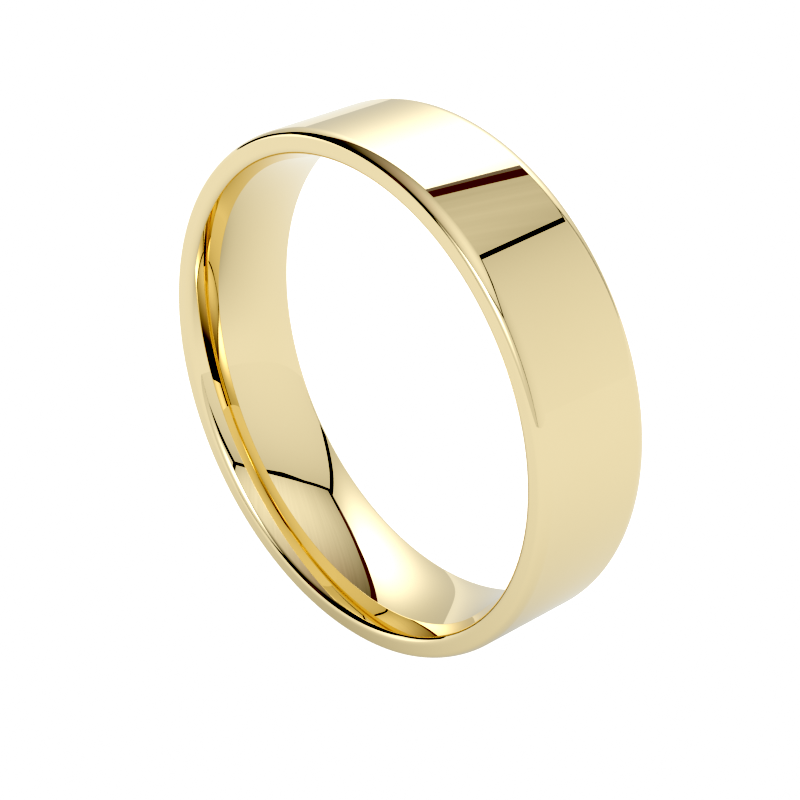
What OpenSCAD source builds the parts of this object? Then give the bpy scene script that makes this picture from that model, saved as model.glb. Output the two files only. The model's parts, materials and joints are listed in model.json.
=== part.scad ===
// Plain wedding band: one ring of solid gold, flat outside and domed inside.
// The ring's axis is the Y axis, +Z is up and the origin is the centre of the bore.
// All sizes are in millimetres.

/* [Finger size] */
// Diameter of the bore at the crest of its dome
bore_d = 17.4; // [14:0.1:22]
// Width of the straight land at the crest of the dome, which sets the finger size
land_w = 0.6; // [0.4:0.1:1]

/* [Band] */
// Width of the band along its axis
band_w = 5; // [3:0.5:8]
// Thickness of the metal at the middle of the band
band_t = 1.3; // [1.2:0.1:2.4]

/* [Edges] */
// How far the domed inside falls away from its crest to each edge
dome_rise = 0.5; // [0.2:0.05:0.5]
// Radius of the slow turn that leads from the outside into each outer edge
outer_easy_r = 0.78; // [0.5:0.02:0.8]
// Radius of the tight turn that ends each outer edge at the side face
outer_tight_r = 0.21; // [0.1:0.01:0.24]
// Radius that softens the two inner edges
inner_edge_r = 0.32; // [0.1:0.02:0.36]

/* [Hidden] */
$fn = 180;
// How far the shapes that are taken away reach past the metal.
spare = 1;

bore_r = bore_d / 2;
outer_r = bore_r + band_t;
half_w = band_w / 2;

// Each outer edge turns this far slowly, in degrees, and the rest of a quarter turn tightly.
easy_turn = 30;
radii_gap = outer_easy_r - outer_tight_r;
easy_x = outer_r - outer_easy_r;
easy_y = half_w - outer_tight_r - radii_gap * sin(easy_turn);
tight_x = easy_x + radii_gap * cos(easy_turn);
tight_y = half_w - outer_tight_r;
// A three-cornered wedge with sides this long holds the whole of the slow turn.
wedge = 1.2 * outer_easy_r;

// The dome is one arc through its crest and both edges.
dome_r = (half_w * half_w + dome_rise * dome_rise) / (2 * dome_rise);
// The land cuts the top off that arc, so the arc's own crest lies a little inside the bore.
land_cut = dome_r - sqrt(dome_r * dome_r - land_w * land_w / 4);
dome_x = bore_r - land_cut + dome_r;

// Centre of the inner edge's round, tangent to the side face and to the dome.
edge_y = half_w - inner_edge_r;
edge_x = dome_x - sqrt(pow(dome_r - inner_edge_r, 2) - edge_y * edge_y);
// Direction from the dome's centre through that centre to the point where the two arcs meet.
edge_angle = atan2(edge_y, edge_x - dome_x);
meet_x = dome_x + dome_r * cos(edge_angle);
meet_y = dome_r * sin(edge_angle);

// One outer edge: the slow turn, cut out of its circle, and the tight turn beside it.
module outer_edge() {
    intersection() {
        translate([easy_x, easy_y]) circle(r = outer_easy_r);
        translate([easy_x, easy_y])
            polygon([[0, 0], [wedge, 0], [wedge * cos(easy_turn), wedge * sin(easy_turn)]]);
    }
    translate([tight_x, tight_y]) circle(r = outer_tight_r);
}

// Section of the band with square inner edges and rounded outer edges.
// The section lies in the XY plane: X is the distance from the ring's axis, Y runs along it.
module slab() {
    translate([bore_r, -half_w]) square([tight_x - bore_r, band_w]);
    translate([bore_r, -easy_y]) square([band_t, 2 * easy_y]);
    outer_edge();
    mirror([0, 1]) outer_edge();
}

// What is taken off one inner edge before its round is put back.
module inner_corner() {
    polygon([[edge_x, edge_y], [meet_x, meet_y], [bore_r - spare, meet_y],
             [bore_r - spare, half_w + spare], [edge_x, half_w + spare]]);
}

// Whole section: the slab, domed inside, with both inner edges rounded.
module section() {
    difference() {
        intersection() {
            slab();
            translate([dome_x, 0]) circle(r = dome_r);
        }
        inner_corner();
        mirror([0, 1]) inner_corner();
    }
    for (side = [-1, 1]) translate([edge_x, side * edge_y]) circle(r = inner_edge_r);
}

// The band, turned about the Y axis.
module band() {
    color([0.92, 0.86, 0.69]) rotate([-90, 0, 0]) rotate_extrude() section();
}

band();
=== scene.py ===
"""A plain yellow gold wedding band, seen as a jeweller shows it: standing in a white light tent."""

import json
from math import atan2, cos, pi, radians, sin, sqrt

import bpy
from mathutils import Matrix, Vector

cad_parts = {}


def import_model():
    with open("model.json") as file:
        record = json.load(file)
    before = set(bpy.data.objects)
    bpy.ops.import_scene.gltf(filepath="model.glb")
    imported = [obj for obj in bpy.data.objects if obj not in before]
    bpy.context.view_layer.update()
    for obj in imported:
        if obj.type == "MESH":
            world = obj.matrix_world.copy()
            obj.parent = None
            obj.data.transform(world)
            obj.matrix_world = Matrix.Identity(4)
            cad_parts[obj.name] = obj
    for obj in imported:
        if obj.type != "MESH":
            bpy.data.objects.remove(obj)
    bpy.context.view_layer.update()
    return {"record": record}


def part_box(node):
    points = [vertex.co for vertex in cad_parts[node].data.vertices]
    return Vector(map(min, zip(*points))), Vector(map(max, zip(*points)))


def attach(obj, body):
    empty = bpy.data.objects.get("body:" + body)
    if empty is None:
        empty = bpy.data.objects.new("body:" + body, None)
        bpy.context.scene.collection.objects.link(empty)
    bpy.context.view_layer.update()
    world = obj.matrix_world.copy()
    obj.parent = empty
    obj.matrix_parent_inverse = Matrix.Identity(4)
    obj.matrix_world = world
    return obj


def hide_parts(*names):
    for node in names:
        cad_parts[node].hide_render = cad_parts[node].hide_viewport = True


MM = 0.001

# The band's section, in metres, as part.scad has it.
OUTER_EDGE_EASY_R = 0.78 * MM
OUTER_EDGE_TIGHT_R = 0.21 * MM
OUTER_EDGE_TURN = radians(30)
INNER_EDGE_R = 0.32 * MM
DOME_RISE = 0.5 * MM
LAND_W = 0.6 * MM

# How finely the band is turned: steps round it, and steps along each stretch of its section.
TURN_STEPS = 512
OUTSIDE_STEPS = 6
EASY_STEPS = 9
TIGHT_STEPS = 16
SIDE_STEPS = 2
INNER_EDGE_STEPS = 14
DOME_STEPS = 40

# The gold's colour drifts softly between these two, and it is almost a perfect mirror.
DEEP_GOLD = (0.893, 0.741, 0.476)
PALE_GOLD = (0.909, 0.759, 0.498)
LEAST_ROUGHNESS = 0.006
ROUGHNESS_DRIFT = 0.006
CLOUDS_PER_M = 260.0
HAIRLINES_PER_M = 9000.0
# Hairlines change this much more slowly round the band than across it.
HAIRLINE_STRETCH = 0.05
HAIRLINE_DEPTH = 0.001 * MM
HAIRLINE_STRENGTH = 0.01

# The tent: a square room of white cloth, turned about the upright axis, in metres and degrees.
TENT_D = 1.0
TENT_TURN = 35.0
CEILING_H = 1.21
# How far most of the cloth reaches to either side of its middle.
CLOTH_EDGE = 0.966

# Each wall above its foot, from its largest X round to its smallest, as (along, height).
RIGHT_TOP = [(0.983, 1.165), (0.7, 1.171), (0.4, 1.19), (0.0, 1.155), (-0.4, 1.19)]
RIGHT_TOP += [(-0.986, 1.19)]
FRONT_TOP = [(0.98, 0.2), (0.955, 0.5), (0.95, 1.17), (-CLOTH_EDGE, 1.17)]
# A strip of grey hem runs along most of the back wall's top: its lower and upper edges.
HEM_FOOT = [(0.23, 1.138), (0.02, 1.162), (-0.19, 1.187), (-0.29, 1.182), (-0.42, 1.179)]
HEM_FOOT += [(-0.929, 1.2)]
HEM_TOP = [(0.23, 1.14), (0.02, 1.17), (-0.19, 1.197), (-0.29, 1.213), (-0.42, 1.214)]
HEM_TOP += [(-0.929, 1.23)]
BACK_TOP = [(CLOTH_EDGE, 1.0), (0.466, 1.09)] + HEM_FOOT
# The ceiling's outline: X points to the right wall, Y to the back wall.
ROOF = [(-0.957, -0.957), (0.957, -0.957), (0.963, 0.0), (CLOTH_EDGE, 0.4), (0.98, 0.7)]
ROOF += [(0.985, 0.93), (0.4, 0.943), (0.0, 0.945), (-0.25, 0.972), (-0.465, 0.998)]
ROOF += [(-0.957, 1.0)]

# Faint folds in the ceiling run along its X.
FOLDS_ALONG_PER_M = 0.8
FOLDS_ACROSS_PER_M = 26.0
FOLD_DEPTH = 0.22

# The light that each kind of cloth gives.
CLOTH_COLOUR = (1.03, 1.05, 1.018)
ROSY_CLOTH_COLOUR = (1.11, 1.025, 1.02)
HEM_COLOUR = (0.25, 0.24, 0.27)
NEAR_CURTAIN_COLOUR = (0.127, 0.075, 0.075)
FAR_CURTAIN_COLOUR = (0.17, 0.08, 0.10)

# The floor that the camera sees lies just under the table that the band reflects.
FLOOR_COLOUR = (0.8, 0.8, 0.8)
FLOOR_GLOW = 0.95
FLOOR_GAP = 0.01 * MM
FLOOR_HALF_W = 4.0
TABLE_HALF_W = 1.5

# The camera: its direction from the band in degrees, its distance, its offsets and its lens.
CAMERA_AZIMUTH = 47.89
CAMERA_ELEVATION = 28.63
CAMERA_D = 79.18 * MM
CAMERA_RIGHT = 0.149 * MM
CAMERA_UP = -0.707 * MM
SENSOR_W = 36.0
LENS = 97.58

# The picture's tone: a halving of the light takes this share of the way from white to black.
TONE_PER_STOP = 0.26
TONE_STEPS = 16
COMBINED_CURVE = 3


def arc(centre, radius, start, end, steps):
    """An arc's points in the section: (distance from the axis, place along it, outward normal)."""
    found = []
    for i in range(steps + 1):
        a = start + (end - start) * i / steps
        n = (cos(a), sin(a))
        found.append((centre[0] + radius * n[0], centre[1] + radius * n[1], n))
    return found


def line(start, end, normal, steps):
    """Points of a straight stretch, without its ends, which the arcs beside it hold."""
    return [
        (
            start[0] + (end[0] - start[0]) * i / steps,
            start[1] + (end[1] - start[1]) * i / steps,
            normal,
        )
        for i in range(1, steps)
    ]


def band_section(outer_r, half_w, bore_r):
    """The closed outline of the band, from the front outer edge round to the front inner edge."""
    # The dome runs straight across the land, so that no crease shows in the reflections.
    dome_r = (half_w**2 + DOME_RISE**2) / (2 * DOME_RISE)
    land_cut = dome_r - sqrt(dome_r**2 - LAND_W**2 / 4)
    dome_x = bore_r - land_cut + dome_r
    edge_y = half_w - INNER_EDGE_R
    edge_x = dome_x - sqrt((dome_r - INNER_EDGE_R) ** 2 - edge_y**2)
    meet = atan2(edge_y, dome_x - edge_x)
    # Each outer edge turns slowly away from the outside, then tightly into the side face.
    turn = OUTER_EDGE_TURN
    between = OUTER_EDGE_EASY_R - OUTER_EDGE_TIGHT_R
    tight_y = half_w - OUTER_EDGE_TIGHT_R
    easy_x, easy_y = outer_r - OUTER_EDGE_EASY_R, tight_y - between * sin(turn)
    tight_x = easy_x + between * cos(turn)
    out = arc((tight_x, -tight_y), OUTER_EDGE_TIGHT_R, -pi / 2, -turn, TIGHT_STEPS)[:-1]
    out += arc((easy_x, -easy_y), OUTER_EDGE_EASY_R, -turn, 0, EASY_STEPS)
    out += line((outer_r, -easy_y), (outer_r, easy_y), (1, 0), OUTSIDE_STEPS)
    out += arc((easy_x, easy_y), OUTER_EDGE_EASY_R, 0, turn, EASY_STEPS)[:-1]
    out += arc((tight_x, tight_y), OUTER_EDGE_TIGHT_R, turn, pi / 2, TIGHT_STEPS)
    out += line((tight_x, half_w), (edge_x, half_w), (0, 1), SIDE_STEPS)
    out += arc((edge_x, edge_y), INNER_EDGE_R, pi / 2, pi - meet, INNER_EDGE_STEPS)
    out += arc((dome_x, 0), dome_r, pi - meet, pi + meet, DOME_STEPS)[1:-1]
    out += arc((edge_x, -edge_y), INNER_EDGE_R, pi + meet, 3 * pi / 2, INNER_EDGE_STEPS)
    out += line((edge_x, -half_w), (tight_x, -half_w), (0, -1), SIDE_STEPS)
    return out


def turned_band(name, section):
    """The section turned about the bore's axis, with its exact normals, as one closed mesh."""
    count = len(section)
    verts, normals, faces = [], [], []
    for i in range(TURN_STEPS):
        a = 2 * pi * i / TURN_STEPS
        c, s = cos(a), sin(a)
        for rho, y, (n_out, n_along) in section:
            verts.append((rho * c, y, rho * s))
            normals.append((n_out * c, n_along, n_out * s))
        here, there = i * count, (i + 1) % TURN_STEPS * count
        for j in range(count):
            k = (j + 1) % count
            faces.append((here + j, here + k, there + k, there + j))
    mesh = bpy.data.meshes.new(name)
    mesh.from_pydata(verts, [], faces)
    mesh.polygons.foreach_set("use_smooth", [True] * len(faces))
    mesh.normals_split_custom_set_from_vertices(normals)
    mesh.validate()
    piece = bpy.data.objects.new(name, mesh)
    bpy.context.scene.collection.objects.link(piece)
    return piece


class Tree:
    """A short way to write a material's nodes."""

    def __init__(self, owner):
        owner.use_nodes = True
        self.nodes, self.links = owner.node_tree.nodes, owner.node_tree.links
        self.nodes.clear()

    def add(self, kind, **settings):
        node = self.nodes.new(kind)
        for key, value in settings.items():
            setattr(node, key, value)
        return node

    def feed(self, socket, value):
        """Sets a socket: links it to another socket, or gives it a number or colour."""
        if isinstance(value, bpy.types.NodeSocket):
            self.links.new(value, socket)
        else:
            socket.default_value = value

    def math(self, operation, *values):
        node = self.add("ShaderNodeMath", operation=operation)
        for socket, value in zip(node.inputs, values):
            self.feed(socket, value)
        return node.outputs[0]

    def mix(self, share, a, b):
        """A colour between a and b."""
        node = self.add("ShaderNodeMix", data_type="RGBA")
        self.feed(node.inputs["Factor"], share)
        self.feed(node.inputs[6], a)
        self.feed(node.inputs[7], b)
        return node.outputs[2]

    def noise(self, vector, scale):
        node = self.add("ShaderNodeTexNoise")
        self.feed(node.inputs["Vector"], vector)
        self.feed(node.inputs["Scale"], scale)
        self.feed(node.inputs["Detail"], 3.0)
        return node.outputs["Fac"]


def rgb(r, g, b):
    return (r, g, b, 1.0)


def polished_gold():
    """Mirror polished yellow gold: hairlines left by the polishing mop run round the band."""
    material = bpy.data.materials.new("polished_yellow_gold")
    t = Tree(material)
    place = t.add("ShaderNodeTexCoord").outputs["Object"]
    xyz = t.add("ShaderNodeSeparateXYZ")
    t.feed(xyz.inputs[0], place)
    x, y, z = xyz.outputs
    rho = t.math("SQRT", t.math("ADD", t.math("MULTIPLY", x, x), t.math("MULTIPLY", z, z)))
    across = t.add("ShaderNodeCombineXYZ")
    t.feed(across.inputs[0], t.math("MULTIPLY", x, HAIRLINE_STRETCH))
    t.feed(across.inputs[1], t.math("ADD", y, rho))
    t.feed(across.inputs[2], t.math("MULTIPLY", z, HAIRLINE_STRETCH))
    hairlines = t.noise(across.outputs[0], HAIRLINES_PER_M)
    clouds = t.noise(place, CLOUDS_PER_M)
    shade = t.mix(clouds, rgb(*DEEP_GOLD), rgb(*PALE_GOLD))
    rough = t.math("MULTIPLY_ADD", clouds, ROUGHNESS_DRIFT, LEAST_ROUGHNESS)
    rough = t.math("MULTIPLY_ADD", hairlines, ROUGHNESS_DRIFT, rough)
    bump = t.add("ShaderNodeBump")
    t.feed(bump.inputs["Strength"], HAIRLINE_STRENGTH)
    t.feed(bump.inputs["Distance"], HAIRLINE_DEPTH)
    t.feed(bump.inputs["Height"], hairlines)
    shader = t.add("ShaderNodeBsdfPrincipled")
    t.feed(shader.inputs["Metallic"], 1.0)
    t.feed(shader.inputs["Base Color"], shade)
    t.feed(shader.inputs["Roughness"], rough)
    t.feed(shader.inputs["Normal"], bump.outputs[0])
    out = t.add("ShaderNodeOutputMaterial")
    t.feed(out.inputs["Surface"], shader.outputs[0])
    return material


def glowing(name, strength, colour=CLOTH_COLOUR):
    """Cloth lit from behind. strength takes (tree, x, y) and gives the light's strength there.

    colour is one colour, or takes the same three and gives the colour there.
    """
    material = bpy.data.materials.new(name)
    t = Tree(material)
    xyz = t.add("ShaderNodeSeparateXYZ")
    t.feed(xyz.inputs[0], t.add("ShaderNodeTexCoord").outputs["Object"])
    x, y, _ = xyz.outputs
    glow = t.add("ShaderNodeEmission")
    t.feed(glow.inputs["Color"], colour(t, x, y) if callable(colour) else rgb(*colour))
    t.feed(glow.inputs["Strength"], strength(t, x, y))
    out = t.add("ShaderNodeOutputMaterial")
    t.feed(out.inputs["Surface"], glow.outputs[0])
    return material


def card(name, matrix, outline, material):
    """A flat sheet with this outline in its own plane. Light only: the camera passes through."""
    mesh = bpy.data.meshes.new(name)
    mesh.from_pydata([(x, y, 0) for x, y in outline], [], [tuple(range(len(outline)))])
    mesh.materials.append(material)
    sheet = bpy.data.objects.new(name, mesh)
    sheet.matrix_world = matrix
    sheet.visible_camera = False
    bpy.context.scene.collection.objects.link(sheet)
    return sheet


def oblong(x0, y0, x1, y1):
    return [(x0, y0), (x1, y0), (x1, y1), (x0, y1)]


def wall_matrix(azimuth):
    """A wall's own frame: X runs towards larger azimuth, Y up, level with the band at Y = 0."""
    a = radians(azimuth)
    normal = Vector((cos(a), sin(a), 0))
    along = Vector((-sin(a), cos(a), 0))
    up = Vector((0, 0, 1))
    m = Matrix((along, up, along.cross(up))).transposed().to_4x4()
    m.translation = normal * TENT_D
    return m


def square(t, value, weight):
    return t.math("MULTIPLY", t.math("MULTIPLY", value, value), weight)


def spot(t, x, y, centre, spread):
    """A soft round spot: 1 at its centre, falling off as a lamp's spill does."""
    dx = t.math("SUBTRACT", x, centre[0])
    dy = t.math("SUBTRACT", y, centre[1])
    dx = t.math("DIVIDE", t.math("MULTIPLY", dx, dx), spread[0])
    dy = t.math("DIVIDE", t.math("MULTIPLY", dy, dy), spread[1])
    return t.math("EXPONENT", t.math("MULTIPLY", t.math("ADD", dx, dy), -1.0))


def lamp(t, x, y, base, strength, centre, spread):
    """The base light with a soft spot added to it, or taken off where strength is negative."""
    return t.math("MULTIPLY_ADD", spot(t, x, y, centre, spread), strength, base)


def right_light(t, x, y):
    """Evenly lit cloth, a little brighter low down and at its middle."""
    level, per_m_up, per_m_along = 0.866, -0.083, 0.013
    fall_up, fall_along = -0.082, -0.086
    glow = t.math("MULTIPLY_ADD", y, per_m_up, level)
    glow = t.math("MULTIPLY_ADD", x, per_m_along, glow)
    glow = t.math("ADD", glow, square(t, y, fall_up))
    return t.math("ADD", glow, square(t, x, fall_along))


def back_light(t, x, y):
    """A lamp close behind the cloth."""
    level, per_m_up = 0.564, 0.044
    base = t.math("MULTIPLY_ADD", y, per_m_up, level)
    return lamp(t, x, y, base, strength=1.953, centre=(-0.056, 0.9), spread=(0.259, 0.257))


def front_light(t, x, y):
    """Another lamp behind the cloth on the camera's side."""
    return lamp(t, x, y, base=0.69, strength=3.9, centre=(0.015, 0.92), spread=(0.145, 0.145))


def roof_light(t, x, y):
    """Brightest on the right wall's side, almost dark at the open side, with faint folds."""
    glow = lamp(t, x, y, 0.201, strength=0.764, centre=(0.549, -0.17), spread=(0.594, 1.561))
    glow = lamp(t, x, y, glow, strength=-0.15, centre=(-1.0, 0.0), spread=(0.1, 100.0))
    place = t.add("ShaderNodeCombineXYZ")
    t.feed(place.inputs[0], t.math("MULTIPLY", x, FOLDS_ALONG_PER_M))
    t.feed(place.inputs[1], t.math("MULTIPLY", y, FOLDS_ACROSS_PER_M))
    folds = t.noise(place.outputs[0], 1.0)
    folds = t.math("MULTIPLY_ADD", folds, FOLD_DEPTH, 1 - FOLD_DEPTH / 2)
    return t.math("MULTIPLY", glow, folds)


def roof_colour(t, x, y):
    """White, with a faint rosy patch between the ceiling's middle and the open side."""
    patch = spot(t, x, y, centre=(-0.3, 0.25), spread=(0.13, 0.35))
    return t.mix(patch, rgb(*CLOTH_COLOUR), rgb(*ROSY_CLOTH_COLOUR))


def low_card_light(t, x, y):
    """The low card on the open side, lit by a narrow lamp towards one end."""
    level, fall_along = 0.87, -0.12
    base = t.math("ADD", square(t, x, fall_along), level)
    return lamp(t, x, y, base, strength=0.43, centre=(-0.1, 0.0), spread=(0.045, 4.0))


def far_curtain_light(t, x, y):
    """One soft patch of light on a curtain that is otherwise black."""
    return spot(t, x, y, centre=(0.48, 0.85), spread=(0.03, 0.08))


def even_light(t, x, y):
    return 1.0


def table_light(t, x, y):
    """The pale table, with the band's shadow painted into its glow: darker below the band and
    beside it.
    """
    level, shade, shade_reach = 0.88, -0.40, -0.75
    across = t.math("DIVIDE", t.math("ADD", x, 1.5 * MM), 14 * MM)
    along = t.math("DIVIDE", y, 10 * MM)
    away = t.math("SQRT", t.math("ADD", square(t, across, 1.0), square(t, along, 1.0)))
    # Painted shadow: the table's glow falls off broadly around the band.
    painted_shadow = t.math("EXPONENT", t.math("DIVIDE", away, shade_reach))
    glow = t.math("MULTIPLY_ADD", painted_shadow, shade, level)
    # A tighter painted shadow right under the band.
    painted_shadow_below_band = (50 * MM * MM, 7 * MM * MM)
    return lamp(t, x, y, glow, strength=-0.25, centre=(0.0, 0.0), spread=painted_shadow_below_band)


def tent_walls(floor_z):
    """Three walls that stand on the table, and a low card on the fourth side, which is open."""
    right = [(-0.986, floor_z), (0.983, floor_z)] + RIGHT_TOP
    back = [(-0.929, floor_z), (CLOTH_EDGE, floor_z)] + BACK_TOP
    left = oblong(-0.404, floor_z, CLOTH_EDGE, 0.385)
    front = [(-CLOTH_EDGE, floor_z), (0.985, floor_z)] + FRONT_TOP
    sheets = [
        ("tent_wall_right", right, "cloth_right", right_light),
        ("tent_wall_back", back, "cloth_back", back_light),
        ("tent_card_left", left, "card_left", low_card_light),
        ("tent_wall_front", front, "cloth_front", front_light),
    ]
    for i, (name, outline, cloth, light) in enumerate(sheets):
        card(name, wall_matrix(TENT_TURN + 90 * i), outline, glowing(cloth, light))


def hem_and_curtains():
    """The back wall's grey hem, and the dark red seen past it and above the low card."""
    back, left = wall_matrix(TENT_TURN + 90), wall_matrix(TENT_TURN + 180)
    hem = glowing("cloth_hem", even_light, HEM_COLOUR)
    card("tent_hem_back", back, HEM_TOP + HEM_FOOT[::-1], hem)
    near = glowing("curtain_near", even_light, NEAR_CURTAIN_COLOUR)
    behind = back @ Matrix.Translation((0, 0, 0.1))
    card("curtain_back", behind, oblong(-0.8, 1.1, 1.1, 1.5), near)
    far = glowing("curtain_far", far_curtain_light, FAR_CURTAIN_COLOUR)
    card("curtain_left", left, oblong(0.0, 0.4, CLOTH_EDGE, 1.3), far)


def light_tent(floor_z):
    """Walls, ceiling and table of lit cloth, with dark gaps where they don't meet."""
    tent_walls(floor_z)
    hem_and_curtains()
    above = Matrix.Rotation(radians(TENT_TURN), 4, "Z")
    above.translation = Vector((0, 0, CEILING_H))
    card("tent_ceiling", above, ROOF, glowing("cloth_top", roof_light, roof_colour))
    level = Matrix.Translation((0, 0, floor_z))
    sheet = oblong(-TABLE_HALF_W, -TABLE_HALF_W, TABLE_HALF_W, TABLE_HALF_W)
    table = card("tent_table", level, sheet, glowing("table_glow", table_light))
    table.visible_diffuse = False
    table.visible_shadow = False


def floor(floor_z):
    """The pale floor that the camera sees. The band reflects the tent's table instead."""
    material = bpy.data.materials.new("pale_floor")
    t = Tree(material)
    paper = t.add("ShaderNodeBsdfDiffuse")
    t.feed(paper.inputs["Color"], rgb(*FLOOR_COLOUR))
    glow = t.add("ShaderNodeEmission")
    t.feed(glow.inputs["Strength"], FLOOR_GLOW)
    both = t.add("ShaderNodeAddShader")
    t.feed(both.inputs[0], paper.outputs[0])
    t.feed(both.inputs[1], glow.outputs[0])
    out = t.add("ShaderNodeOutputMaterial")
    t.feed(out.inputs["Surface"], both.outputs[0])
    level = Matrix.Translation((0, 0, floor_z - FLOOR_GAP))
    sheet = oblong(-FLOOR_HALF_W, -FLOOR_HALF_W, FLOOR_HALF_W, FLOOR_HALF_W)
    plane = card("floor", level, sheet, material)
    plane.visible_camera = True
    plane.visible_glossy = False


def white_surroundings():
    """White for the camera, and nothing for the band to reflect beyond the tent."""
    world = bpy.data.worlds.new("surroundings")
    bpy.context.scene.world = world
    t = Tree(world)
    back = t.add("ShaderNodeBackground")
    t.feed(back.inputs["Strength"], t.add("ShaderNodeLightPath").outputs["Is Camera Ray"])
    t.feed(back.inputs["Color"], rgb(1, 1, 1))
    out = t.add("ShaderNodeOutputWorld")
    t.feed(out.inputs["Surface"], back.outputs[0])


def camera(centre):
    azimuth, elevation = radians(CAMERA_AZIMUTH), radians(CAMERA_ELEVATION)
    level = cos(elevation)
    back = Vector((sin(azimuth) * level, -cos(azimuth) * level, sin(elevation)))
    right = Vector((0, 0, 1)).cross(back).normalized()
    up = back.cross(right)
    data = bpy.data.cameras.new("camera")
    data.sensor_width = SENSOR_W
    data.lens = LENS
    data.clip_start = 1 * MM
    data.clip_end = 10.0
    cam = bpy.data.objects.new("camera", data)
    m = Matrix((right, up, back)).transposed().to_4x4()
    m.translation = centre + back * CAMERA_D + right * CAMERA_RIGHT + up * CAMERA_UP
    cam.matrix_world = m
    bpy.context.scene.collection.objects.link(cam)
    bpy.context.scene.camera = cam


def srgb_to_linear(shown):
    """The light that a screen gives for this share of its full signal, by the sRGB standard."""
    return shown / 12.92 if shown <= 0.04045 else ((shown + 0.055) / 1.055) ** 2.4


def tone():
    """Shows light as film does: every halving of it is the same step darker, down to black."""
    view = bpy.context.scene.view_settings
    view.view_transform = "Standard"
    view.use_curve_mapping = True
    mapping = view.curve_mapping
    mapping.extend = "HORIZONTAL"
    curve = mapping.curves[COMBINED_CURVE]
    black = 2 ** (-1 / TONE_PER_STOP)
    curve.points[0].location = (black, 0.0)
    for i in range(1, TONE_STEPS):
        shown = i / TONE_STEPS
        curve.points.new(black ** (1 - shown), srgb_to_linear(shown))
    mapping.update()


def main():
    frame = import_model()
    low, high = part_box("band")
    bore = next(m for m in frame["record"]["mounts"] if m["name"] == "finger_bore")

    section = band_section(high.x, high.y, bore["dims"]["r_mm"] * MM)
    piece = turned_band("polished_band", section)
    piece.data.materials.append(polished_gold())
    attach(piece, "root")
    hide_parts("band")

    camera((low + high) / 2)
    light_tent(low.z)
    floor(low.z)
    white_surroundings()
    tone()


main()
